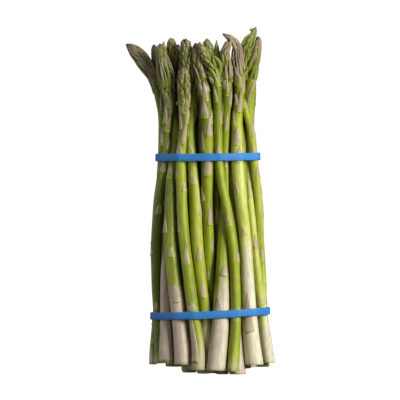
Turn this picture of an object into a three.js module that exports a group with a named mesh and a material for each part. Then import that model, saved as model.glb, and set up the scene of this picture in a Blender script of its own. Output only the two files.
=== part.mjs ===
// A tied bunch of green asparagus that stands on its cut ends, held by two rubber bands.
// Millimetres, +Z up. The origin is at the centre of the foot of the bunch's bounding box.
import * as THREE from "three";

// ---- Driving dimensions -------------------------------------------------------------------

const UPPER_BAND = { name: "upper_band", height: 149, rise: 0.012 };
const LOWER_BAND = { name: "lower_band", height: 41, rise: 0.045 };
const BAND_WIDTH = 5.4;
const BAND_THICKNESS = 1.2;
const BAND_GAP = 0.35;

// Half width, half depth and middle of the bunch's outline at a few heights.
const OUTLINE = [
  { z: 0, half: 43.5, deep: 31, middle: 8 },
  { z: 19, half: 42.5, deep: 29.5, middle: 7.8 },
  { z: 41, half: 39.5, deep: 27, middle: 7.2 },
  { z: 64, half: 39, deep: 26, middle: 5.5 },
  { z: 92, half: 38.3, deep: 24.5, middle: 4.6 },
  { z: 119, half: 36.6, deep: 22.5, middle: 4.5 },
  { z: 149, half: 34, deep: 20.5, middle: 4.8 },
  { z: 175, half: 34, deep: 21.5, middle: 4 },
  { z: 205, half: 38, deep: 26, middle: 4 },
  { z: 245, half: 46, deep: 32, middle: 2 },
];
const OUTLINE_POWER = 2.3;

// The spears on the near side, each one chosen by hand.
// route: height, sideways place, and how far the spear is set back behind the outline.
// girth: the radius at the cut end, the lower band, the middle, the upper band, the neck, the head
// and, for a head that tapers early, the shoulder. drops: see DROPS, for a head of its own shape.
const NEAR_SPEARS = [
  {
    name: "spear_01_bent",
    foot: 6,
    tip: 227,
    girth: [2.9, 2.8, 2.8, 2.8, 2.8, 5.3, 4.3],
    drops: [26, 11, 5],
    route: [
      [0, -33.2, 1], [19, -32.6, 1], [41, -30.2, 5], [64, -29.6, 7], [92, -29, 8], [119, -28, 8],
      [149, -26.6, 7], [175, -26.6, 4], [188, -28.6, 2], [195, -30.3, 2], [202, -32.6, 1],
      [209, -35.6, 1], [214, -38.4, 0], [219, -42.2, 0], [223, -46.4, 0], [227, -53, 0],
    ],
  },
  {
    name: "spear_02",
    foot: 7.5,
    tip: 226.5,
    girth: [5.7, 3.8, 3.1, 2.7, 2.6, 3.2],
    route: [
      [0, -23.2, 0], [19, -23.6, 0], [41, -24.3, 1], [64, -24.6, 4], [92, -24, 9], [119, -22.6, 12.5],
      [149, -23.2, 13.5], [175, -26, 13], [192, -28, 13], [209, -30.5, 12], [226, -32.5, 11],
    ],
  },
  {
    name: "spear_03",
    foot: 7,
    tip: 227,
    girth: [3.1, 2.9, 3.6, 3.8, 3.1, 5.9, 4.2],
    route: [
      [0, -29.4, 5], [19, -29.2, 4], [41, -30.2, 0], [64, -31, 0], [92, -30.6, 0], [119, -29, 0],
      [149, -24.6, 0], [164, -23.6, 0], [175, -22.4, 0], [184, -21.9, 0], [194, -22.9, 0],
      [203, -23.6, 0], [210, -24.6, 0], [217, -26.6, 0], [227, -28.4, 0],
    ],
  },
  {
    name: "spear_04",
    foot: 7,
    tip: 231,
    girth: [6.0, 5.3, 4.8, 2.9, 2.6, 3.5, 3.7],
    route: [
      [0, -12, 0], [19, -12.9, 0], [41, -15.2, 0], [64, -18.2, 0], [92, -21, 0], [119, -21.2, 0], [134, -20.8, 0],
      [149, -19.2, 5], [164, -18.4, 9], [175, -18.9, 12], [192, -19.6, 12.5],
      [209, -19.4, 11.5], [231, -20.6, 10],
    ],
  },
  {
    name: "spear_05_short",
    foot: 3.5,
    tip: 211,
    girth: [4.7, 4.2, 3.8, 3.5, 2.9, 4.1],
    route: [
      [0, -1.6, 0], [19, -2, 0], [41, -5.2, 0], [64, -8, 0], [92, -11.4, 0], [119, -13.2, 0],
      [149, -13.8, 0], [164, -12, 0], [175, -11.2, 0], [192, -11.6, 0], [211, -11.6, 0],
    ],
  },
  {
    name: "spear_06",
    foot: 1,
    tip: 230.5,
    girth: [4.4, 3.9, 4.3, 3.4, 2.8, 4.5],
    route: [
      [0, 5.5, 10], [19, 3.6, 8], [41, 2.8, 2.5], [64, 0, 0], [92, -2.8, 0], [119, -4, 0],
      [149, -6.2, 0], [157, -7, 2.5], [164, -7.6, 5.5], [171, -7.4, 6], [180, -6, 3.5],
      [186, -5.4, 2.4], [192, -5.5, 2.6], [200, -7, 5], [209, -8.9, 6], [220, -10, 6],
      [230, -10.8, 5],
    ],
  },
  {
    name: "spear_07",
    foot: 0,
    tip: 227.5,
    girth: [4.4, 3.8, 3.6, 4.3, 4.0, 4.0],
    route: [
      [0, 1.5, 13], [19, 3.2, 12], [41, 5, 9], [64, 5.8, 4], [92, 5.4, 1], [119, 4.2, 0],
      [149, 4.6, 0], [164, 4.4, 0], [175, 3.8, 0], [192, 2.6, 1], [209, -0.4, 2], [227, -3.4, 3],
    ],
  },
  {
    name: "spear_08",
    foot: 0,
    tip: 230.5,
    girth: [4.0, 3.4, 2.9, 2.5, 2.3, 3.6],
    route: [
      [0, 8, 20], [19, 7.4, 18], [41, 7.6, 15], [64, 9, 13], [92, 10.4, 10], [119, 10.8, 8],
      [149, 8.8, 8], [175, 7.6, 9], [192, 7.8, 10], [209, 8, 10], [222, 6.4, 10], [230, 2.8, 10],
    ],
  },
  {
    name: "spear_09_crossing",
    foot: 2.5,
    tip: 227.5,
    girth: [4.2, 3.5, 3.5, 2.9, 2.8, 3.2, 2.6],
    route: [
      [0, 22, 0], [19, 23, 0], [41, 24, 0], [64, 23.6, 0], [92, 21.6, 0], [105, 19.4, 0],
      [119, 16.8, 0], [134, 13.8, 0], [149, 12.2, 0], [175, 11.6, 0], [192, 11.2, 0],
      [205, 10.1, 0], [209, 8.6, 0], [212.5, 6.7, 0], [216, 4.4, 0], [219.5, 2.2, 0],
      [223, 0.2, 0], [227, -1.8, 0],
    ],
  },
  {
    name: "spear_10",
    foot: 3,
    tip: 230,
    girth: [6.5, 5.7, 3.9, 2.4, 2.8, 3.9, 2.7],
    route: [
      [0, 9.2, 0], [8, 9.8, 0], [19, 12.2, 0], [41, 13.6, 0], [64, 14.8, 1], [92, 15.4, 6],
      [119, 16.6, 8], [149, 16.2, 4], [175, 17.2, 0], [192, 18, 0], [205, 17.8, 0], [213, 17, 0],
      [220, 15.8, 0], [225, 17.6, 0], [230, 20.8, 0],
    ],
  },
  {
    name: "spear_11",
    foot: 6.5,
    tip: 233.4,
    girth: [6.4, 5.2, 4.2, 4.2, 3.4, 3.9, 2.8],
    route: [
      [0, 37.6, 0], [19, 35.2, 0], [41, 33.4, 0], [64, 32.2, 0], [92, 30.4, 0], [119, 27.6, 0],
      [149, 25, 0], [175, 25, 0], [192, 26.4, 0], [205, 26.6, 0], [213, 25.6, 1], [220, 24.6, 3],
      [222, 24.7, 4], [228, 25.5, 5.5], [234, 13.6, 6],
    ],
  },
  {
    name: "spear_12",
    foot: 4,
    tip: 238.5,
    girth: [4.4, 3.3, 2.8, 2.9, 2.3, 3.2, 2.4],
    route: [
      [0, 42.5, 11], [19, 43, 9], [41, 42.6, 6], [64, 42.2, 3], [92, 40.8, 0], [119, 39.2, 0],
      [149, 36.1, 0], [161, 35.2, 0], [168, 33.9, 0], [175, 31.8, 0.5], [180, 30.6, 3],
      [186, 28.5, 7], [192, 27.4, 9.5], [200, 27.7, 10], [209, 28.8, 9],
      [220, 30.6, 8], [226, 32, 8], [231, 34.4, 8], [238, 37.6, 8],
    ],
  },
  {
    name: "spear_13",
    foot: 7,
    tip: 232,
    girth: [4.5, 3.9, 3.1, 2.6, 2.6, 4.2, 3.4],
    route: [
      [0, 47.7, 0], [19, 45.4, 0], [41, 42.2, 0], [64, 39, 1], [92, 36, 3], [119, 33.8, 5],
      [149, 32.2, 6], [164, 32.6, 6], [175, 33.2, 5.5], [182, 32.8, 2.5], [188, 32.4, 0.5],
      [194, 32.8, 0], [199, 34, 0], [204, 34.8, 0], [213, 36, 0], [220, 36.9, 0],
      [227, 38.4, 0], [232, 39.7, 0],
    ],
  },
];

// The spears behind them stand in rows, from just behind the near side to the far side.
const ROWS = [
  { depth: -0.36, count: 6 },
  { depth: 0.02, count: 7 },
  { depth: 0.42, count: 7 },
  { depth: 0.84, count: 7 },
];
const ROW_GIRTH = [5.0, 4.3, 3.9, 3.4, 2.9, 3.7];
const ROW_GIRTH_SPREAD = 0.17;
const ROW_WANDER = 2.6;
const ROW_TIP = { lowest: 205, highest: 224 };
// The middle spears of each row reach the surface, and the cut ends rise towards both sides.
const ROW_FOOT_LIFT = { left: 7.5, right: 4.5 };
const FLAT_FOOTED = { from: -0.15, farFrom: -0.3, to: 0.55 };
// The tips of a short spear that ends among the others, and of one that shows between near heads.
const ROW_TIPS = { 14: 156, 21: 227 };

// Where the rings of every spear lie. They are closer together along the heads.
const STALK_STEP = 15;
const HEAD_STEP = 6;
const HEADS_START = 180;
const TOP = 240;
const SIDES = 10;
const CLEARANCE = 0.38;

// How far the neck, the head's thickest part and its shoulder are below the tip.
const DROPS = [46, 20, 8];
const SHOULDER_SHARE = 0.9;
const POINT_BELOW_TIP = 2.5;
const POINT_SHARE = 0.64;

// ---- Small helpers ------------------------------------------------------------------------

// Seeded random numbers from 0 to 1, the same ones each time.
function randomFrom(seed) {
  let state = seed;
  return () => {
    state = (state * 1664525 + 1013904223) % 4294967296;
    return state / 4294967296;
  };
}

// A value between knots of [place, value], eased by a cubic that never overshoots.
function between(knots, at) {
  if (at <= knots[0][0]) return knots[0][1];
  const last = knots.length - 1;
  if (at >= knots[last][0]) return knots[last][1];
  const i = knots.findIndex(([place]) => place > at) - 1;
  const slope = (k) => (knots[k + 1][1] - knots[k][1]) / (knots[k + 1][0] - knots[k][0]);
  const bend = (k) => {
    if (k <= 0 || k >= last) return slope(Math.min(Math.max(k, 0), last - 1));
    const [before, after] = [slope(k - 1), slope(k)];
    return before * after <= 0 ? 0 : (2 * before * after) / (before + after);
  };
  const step = knots[i + 1][0] - knots[i][0];
  const t = (at - knots[i][0]) / step;
  const [a, b] = [knots[i][1], knots[i + 1][1]];
  const [ta, tb] = [bend(i) * step, bend(i + 1) * step];
  return (
    a * (2 * t ** 3 - 3 * t ** 2 + 1) + ta * (t ** 3 - 2 * t ** 2 + t) +
    b * (3 * t ** 2 - 2 * t ** 3) + tb * (t ** 3 - t ** 2)
  );
}

function outlineAt(z) {
  const of = (key) => between(OUTLINE.map((row) => [row.z, row[key]]), z);
  return { half: of("half"), deep: of("deep"), middle: of("middle") };
}

// ---- Spears as they are first placed --------------------------------------------------------

function radiusKnots(foot, tip, girth, [neckDrop, headDrop, shoulderDrop] = DROPS) {
  const [cut, lower, middle, upper, neck, head, shoulder = head * SHOULDER_SHARE] = girth;
  const neckHeight = tip - neckDrop;
  const stalk = [
    [foot, cut],
    [LOWER_BAND.height, lower],
    [92, middle],
    [UPPER_BAND.height, upper],
  ];
  return [
    ...stalk.filter(([z]) => z < neckHeight),
    [neckHeight, neck],
    [tip - headDrop, head],
    [tip - shoulderDrop, shoulder],
    [tip - POINT_BELOW_TIP, shoulder * POINT_SHARE],
    [tip, 0],
  ];
}

// The heights of the rings, from the cut end up.
function ladder() {
  const rungs = [];
  for (let z = 0; z < HEADS_START; z += STALK_STEP) rungs.push(z);
  for (let z = HEADS_START; z <= TOP; z += HEAD_STEP) rungs.push(z);
  return rungs;
}

const RUNGS = ladder();

function nearSpear({ name, foot, tip, girth, drops, route }) {
  const knots = radiusKnots(foot, tip, girth, drops);
  const sideways = route.map(([z, x]) => [z, x]);
  const setBack = route.map(([z, , back]) => [z, back]);
  const points = RUNGS.map((z) => {
    const radius = between(knots, z);
    const { half, deep, middle } = outlineAt(z);
    const x = between(sideways, z);
    const across = Math.min(0.97, Math.abs((x - middle) / half));
    const front = -deep * (1 - across ** OUTLINE_POWER) ** (1 / OUTLINE_POWER);
    return { z, x, y: front + radius + between(setBack, z), radius };
  });
  return { name, foot, tip, near: true, sideways, knots, points };
}

function rowSpears() {
  const random = randomFrom(24);
  const spread = (size) => (random() * 2 - 1) * size;
  const spears = [];
  ROWS.forEach((row, r) => {
    for (let i = 0; i < row.count; i += 1) {
      const number = NEAR_SPEARS.length + spears.length + 1;
      const share = ((i + 0.5) / row.count) * 2 - 1;
      const width = Math.sqrt(1 - row.depth ** 2) * 0.93;
      const scale = 1 + spread(ROW_GIRTH_SPREAD);
      const usualTip = ROW_TIP.lowest + random() * (ROW_TIP.highest - ROW_TIP.lowest);
      const tip = ROW_TIPS[number] ?? usualTip;
      const lift = share < 0 ? -share * ROW_FOOT_LIFT.left : share * ROW_FOOT_LIFT.right;
      const downFrom = r < 2 ? FLAT_FOOTED.from : FLAT_FOOTED.farFrom;
      const foot = share > downFrom && share < FLAT_FOOTED.to ? 0 : lift;
      const girth = ROW_GIRTH.map((size) => size * scale * (1 + spread(0.06)));
      const knots = radiusKnots(foot, tip, girth);
      const drift = [0, 60, 120, 180, 240].map((z) => [z, spread(ROW_WANDER), spread(ROW_WANDER)]);
      const points = RUNGS.map((z) => {
        const { half, deep, middle } = outlineAt(z);
        const radius = between(knots, z);
        return {
          z,
          x: middle + share * width * (half - 4) + between(drift.map(([at, x]) => [at, x]), z),
          y: row.depth * (deep - 4) + between(drift.map(([at, , y]) => [at, y]), z),
          radius,
        };
      });
      const label = String(number).padStart(2, "0");
      spears.push({ name: `spear_${label}`, foot, tip, near: false, knots, points });
    }
  });
  return spears;
}

// ---- Settling: spears push each other apart, and the outline holds them in --------------------

const ROUNDS = 700;
const LAST_ROUNDS = 260;
const STIFFNESS = 0.16;
const NEAR_HOLD = 0.5;
const LEAN_LIMIT = 1.7;

function isPresent(spear, k) {
  const below = RUNGS[Math.min(k + 1, RUNGS.length - 1)];
  const above = RUNGS[Math.max(k - 1, 0)];
  return below > spear.foot && above < spear.tip;
}

// The sideways reach of a leaning stalk's level section, as a share of its radius.
function lean(points, k) {
  const [low, high] = [points[Math.max(k - 1, 0)], points[Math.min(k + 1, points.length - 1)]];
  const run = Math.hypot(high.x - low.x, high.y - low.y);
  return Math.min(LEAN_LIMIT, Math.hypot(1, run / (high.z - low.z)));
}

function pushApart(a, b, k) {
  const [p, q] = [a.points[k], b.points[k]];
  const apart = Math.hypot(q.x - p.x, q.y - p.y) || 1e-6;
  const room = p.radius * lean(a.points, k) + q.radius * lean(b.points, k) + CLEARANCE;
  if (apart >= room || (p.radius === 0 && q.radius === 0)) return;
  const share = a.near === b.near ? 0.5 : a.near ? 0.08 : 0.92;
  const [dx, dy] = [(q.x - p.x) / apart, (q.y - p.y) / apart];
  const push = room - apart;
  p.x -= dx * push * share;
  p.y -= dy * push * share;
  q.x += dx * push * (1 - share);
  q.y += dy * push * (1 - share);
}

function holdIn(spear, k) {
  const point = spear.points[k];
  const { half, deep, middle } = outlineAt(point.z);
  const [a, b] = [half - point.radius, deep - point.radius];
  const out = Math.hypot((point.x - middle) / a, point.y / b);
  if (out <= 1) return;
  if (!spear.near) point.x = middle + (point.x - middle) * (1 + (1 / out - 1) * 0.5);
  point.y *= 1 + (1 / out - 1) * 0.5;
}

function straighten(spear) {
  const { points } = spear;
  const before = points.map(({ x, y }) => ({ x, y }));
  const [first, second, third] = before;
  points[0].x += (2 * second.x - third.x - first.x) * STIFFNESS;
  points[0].y += (2 * second.y - third.y - first.y) * STIFFNESS;
  for (let k = 1; k < points.length - 1; k += 1) {
    const [low, here, high] = [before[k - 1], before[k], before[k + 1]];
    const t = (points[k].z - points[k - 1].z) / (points[k + 1].z - points[k - 1].z);
    if (!spear.near) points[k].x += (low.x * (1 - t) + high.x * t - here.x) * STIFFNESS;
    points[k].y += (low.y * (1 - t) + high.y * t - here.y) * STIFFNESS;
  }
}

function settle(spears) {
  for (let round = 0; round < ROUNDS + LAST_ROUNDS; round += 1) {
    const shaping = round < ROUNDS;
    for (const spear of spears) {
      if (shaping) straighten(spear);
      RUNGS.forEach((z, k) => {
        if (shaping) holdIn(spear, k);
        if (spear.near && shaping) {
          spear.points[k].x += (between(spear.sideways, z) - spear.points[k].x) * NEAR_HOLD;
        }
      });
    }
    spears.forEach((a, i) => {
      for (const b of spears.slice(i + 1)) {
        RUNGS.forEach((_, k) => {
          if (isPresent(a, k) && isPresent(b, k)) pushApart(a, b, k);
        });
      }
    });
  }
}

// ---- Solids ---------------------------------------------------------------------------------

// The centre of a settled spear at any height, straight between its rings, and its radius there.
function sectionAt(spear, z) {
  const k = Math.min(RUNGS.findIndex((rung) => rung > z), RUNGS.length - 1);
  const [low, high] = [spear.points[k - 1], spear.points[k]];
  const t = (z - low.z) / (high.z - low.z);
  const mix = (a, b) => a + (b - a) * t;
  return { z, x: mix(low.x, high.x), y: mix(low.y, high.y), radius: between(spear.knots, z) };
}

function ringsOf(spear) {
  const [foot, tip] = [spear.foot, spear.tip];
  const [shoulder, point] = spear.knots.slice(-3, -1).map(([z]) => z);
  const inside = RUNGS.filter((z) => z > foot + 3 && z < shoulder - 2);
  return [foot, ...inside, shoulder, point, tip].map((z) => sectionAt(spear, z));
}

// A closed tube of level rings: flat at its cut end, and coming to a point at its tip.
function spearGeometry(spear, turn) {
  const rings = ringsOf(spear);
  const positions = [];
  rings.forEach((ring, k) => {
    const [low, high] = [rings[Math.max(k - 1, 0)], rings[Math.min(k + 1, rings.length - 1)]];
    const climb = high.z - low.z;
    const [leanX, leanY] = [(high.x - low.x) / climb, (high.y - low.y) / climb];
    const run = Math.hypot(leanX, leanY) || 1;
    const stretch = Math.hypot(1, leanX, leanY) - 1;
    if (k === rings.length - 1) {
      positions.push(ring.x, ring.y, ring.z);
      return;
    }
    for (let i = 0; i < SIDES; i += 1) {
      const angle = turn + (i / SIDES) * 2 * Math.PI;
      const [cos, sin] = [Math.cos(angle) * ring.radius, Math.sin(angle) * ring.radius];
      const along = ((cos * leanX + sin * leanY) / run) * stretch;
      positions.push(ring.x + cos + (along * leanX) / run, ring.y + sin + (along * leanY) / run, ring.z);
    }
  });
  const faces = [];
  const apex = positions.length / 3 - 1;
  const top = apex - SIDES;
  for (let i = 0; i < SIDES; i += 1) {
    const next = (i + 1) % SIDES;
    for (let ring = 0; ring < top; ring += SIDES) {
      faces.push(ring + i, ring + next, ring + SIDES + next);
      faces.push(ring + i, ring + SIDES + next, ring + SIDES + i);
    }
    faces.push(top + i, top + next, apex);
    if (i > 0 && i < SIDES - 1) faces.push(0, i + 1, i);
  }
  return new THREE.BufferGeometry()
    .setAttribute("position", new THREE.BufferAttribute(new Float32Array(positions), 3))
    .setIndex(faces);
}

// The convex outline round points [x, y], anticlockwise.
function hullOf(points) {
  const sorted = [...points].sort((p, q) => p[0] - q[0] || p[1] - q[1]);
  const turn = (o, a, b) => (a[0] - o[0]) * (b[1] - o[1]) - (a[1] - o[1]) * (b[0] - o[0]);
  const half = (list) => {
    const chain = [];
    for (const point of list) {
      while (chain.length > 1 && turn(chain.at(-2), chain.at(-1), point) <= 0) chain.pop();
      chain.push(point);
    }
    return chain.slice(0, -1);
  };
  return [...half(sorted), ...half(sorted.reverse())];
}

// The stretched band's loop: the hull round every spear, kept a little away from them.
function bandLoop(spears, band, clear) {
  const CORNER_POINTS = 20;
  const points = [];
  for (const spear of spears) {
    for (const edge of [-0.5, 0, 0.5]) {
      const middle = sectionAt(spear, band.height);
      const ring = sectionAt(spear, band.height + band.rise * middle.x + edge * BAND_WIDTH);
      for (let i = 0; i < CORNER_POINTS; i += 1) {
        const angle = (i / CORNER_POINTS) * 2 * Math.PI;
        const reach = ring.radius + clear;
        points.push([ring.x + reach * Math.cos(angle), ring.y + reach * Math.sin(angle)]);
      }
    }
  }
  return hullOf(points).map(([x, y]) => new THREE.Vector2(x, y));
}

function bandGeometry(spears, band) {
  const shape = new THREE.Shape(bandLoop(spears, band, BAND_GAP + BAND_THICKNESS));
  shape.holes.push(new THREE.Path(bandLoop(spears, band, BAND_GAP)));
  const geometry = new THREE.ExtrudeGeometry(shape, { depth: BAND_WIDTH, bevelEnabled: false });
  const place = geometry.getAttribute("position");
  for (let i = 0; i < place.count; i += 1) {
    const rise = band.height - BAND_WIDTH / 2 + band.rise * place.getX(i);
    place.setZ(i, place.getZ(i) + rise);
  }
  return geometry;
}

// ---- The bunch ------------------------------------------------------------------------------

const skin = new THREE.MeshStandardMaterial({ name: "spear_skin", color: 0x8ba03a, roughness: 0.5 });
const rubber = new THREE.MeshStandardMaterial({ name: "blue_rubber", color: 0x2f74c8, roughness: 0.6 });

function spearMesh(spear, number) {
  const mesh = new THREE.Mesh(spearGeometry(spear, number * 0.37), skin.clone());
  mesh.name = spear.name;
  return mesh;
}

function bandMesh(spears, band) {
  const mesh = new THREE.Mesh(bandGeometry(spears, band), rubber.clone());
  mesh.name = band.name;
  return mesh;
}

function bunch() {
  const spears = [...NEAR_SPEARS.map(nearSpear), ...rowSpears()];
  settle(spears);
  const group = new THREE.Group();
  spears.forEach((spear, number) => group.add(spearMesh(spear, number)));
  group.add(bandMesh(spears, UPPER_BAND), bandMesh(spears, LOWER_BAND));
  const box = new THREE.Box3().setFromObject(group);
  const middle = box.getCenter(new THREE.Vector3());
  group.position.set(-middle.x, -middle.y, -box.min.z);
  return group;
}

export default bunch();
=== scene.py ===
"""A tied bunch of green asparagus: the grown surface of every spear, and the two rubber bands.

Lengths are in millimetres until a mesh is made, and heights are measured from the surface that
the bunch stands on. A side of 0 degrees faces the near side of the bunch, and 90 faces its right.
"""

import math

import bpy
import numpy as np
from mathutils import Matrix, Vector


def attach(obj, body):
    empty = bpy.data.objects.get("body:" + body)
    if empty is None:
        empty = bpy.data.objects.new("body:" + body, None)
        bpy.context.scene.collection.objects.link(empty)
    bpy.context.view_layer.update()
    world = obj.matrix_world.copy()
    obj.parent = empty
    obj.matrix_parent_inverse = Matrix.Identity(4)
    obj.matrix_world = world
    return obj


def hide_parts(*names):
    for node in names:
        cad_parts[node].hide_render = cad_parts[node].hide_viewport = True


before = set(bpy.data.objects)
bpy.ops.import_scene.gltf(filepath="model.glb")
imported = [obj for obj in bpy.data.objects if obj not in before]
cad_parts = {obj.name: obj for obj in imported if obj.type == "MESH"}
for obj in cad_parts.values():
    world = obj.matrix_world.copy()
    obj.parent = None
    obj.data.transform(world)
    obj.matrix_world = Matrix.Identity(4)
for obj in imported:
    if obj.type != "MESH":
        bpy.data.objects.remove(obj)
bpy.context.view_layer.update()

MM = 0.001
GOLDEN_ANGLE = 137.5

# ---- What each spear looks like ----

# A tone runs from 0, green, through 0.5, tan, to 1, purple brown.
# A head is a spiral of leaves, each with a swollen bud behind it that may show as a pod.
# count: how many; long: length at the head's foot and tip; wide: half width there, as a share of
# the head's radius; stand: how far tips stand off there; pods: the share that are pods;
# ragged: how unevenly the top ones end; tones: at a leaf's middle, edge and tip.
HEAD_TRAITS = ("count", "long", "wide", "stand", "pods", "ragged", "tones")
HEAD_ROWS = {
    "closed": (62, (15, 11), (0.30, 0.19), (0.3, 0.4), 0.7, 2.5, (0.18, 0.56, 0.8)),
    "streaky": (96, (18, 12), (0.14, 0.11), (0.2, 0.5), 0.3, 4, (0.14, 0.54, 0.8)),
    "blunt": (36, (14, 11), (0.44, 0.40), (0.4, 0.9), 0.5, 3, (0.0, 0.42, 0.62)),
    "slender": (60, (13, 9), (0.26, 0.19), (0.6, 0.7), 0.9, 4, (0.10, 0.50, 0.7)),
    "half_open": (50, (12, 8), (0.31, 0.24), (0.9, 1.0), 0.95, 4, (0.06, 0.46, 0.66)),
    "beaded": (42, (9, 7), (0.48, 0.42), (0.8, 0.7), 1.0, 3, (0.06, 0.40, 0.58)),
    "fingered": (28, (15, 12), (0.36, 0.30), (0.8, 1.0), 1.0, 7, (0.08, 0.42, 0.6)),
    "feathery": (40, (9, 7), (0.30, 0.26), (1.6, 0.8), 1.0, 4, (0.04, 0.30, 0.6)),
}
HEADS = {kind: dict(zip(HEAD_TRAITS, row)) for kind, row in HEAD_ROWS.items()}


# head_from: the height that the head starts at; tones: its leaves' tones, if not those of its
# kind; pale: the heights below which the stalk is fully pale and above which it is green; warm:
# how pink the pale part is; bloom: how much tan speckle lies over the green; bracts: (height,
# side, length) of each listed scale leaf; pods: (height, side, length, radius, stand) of each
# listed side bud; sprigs: each thin branch that curves free of the head, as its path
# of (height, sideways place, how far forward), its thickness, and its buds' (share of the path,
# side, length, radius); tint: the green, from deep to yellowish; olive_end: how far the skin
# turns olive just above the cut; tip_share: how much of its girth the tip keeps.
USUAL_LOOK = dict(
    head="closed", head_from=None, tones=None, pale=(0, 0), warm=0.5, bloom=0.3, bracts=(),
    pods=(), sprigs=(), tint=0.5, olive_end=0.4, tip_share=1.0,
)

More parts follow.
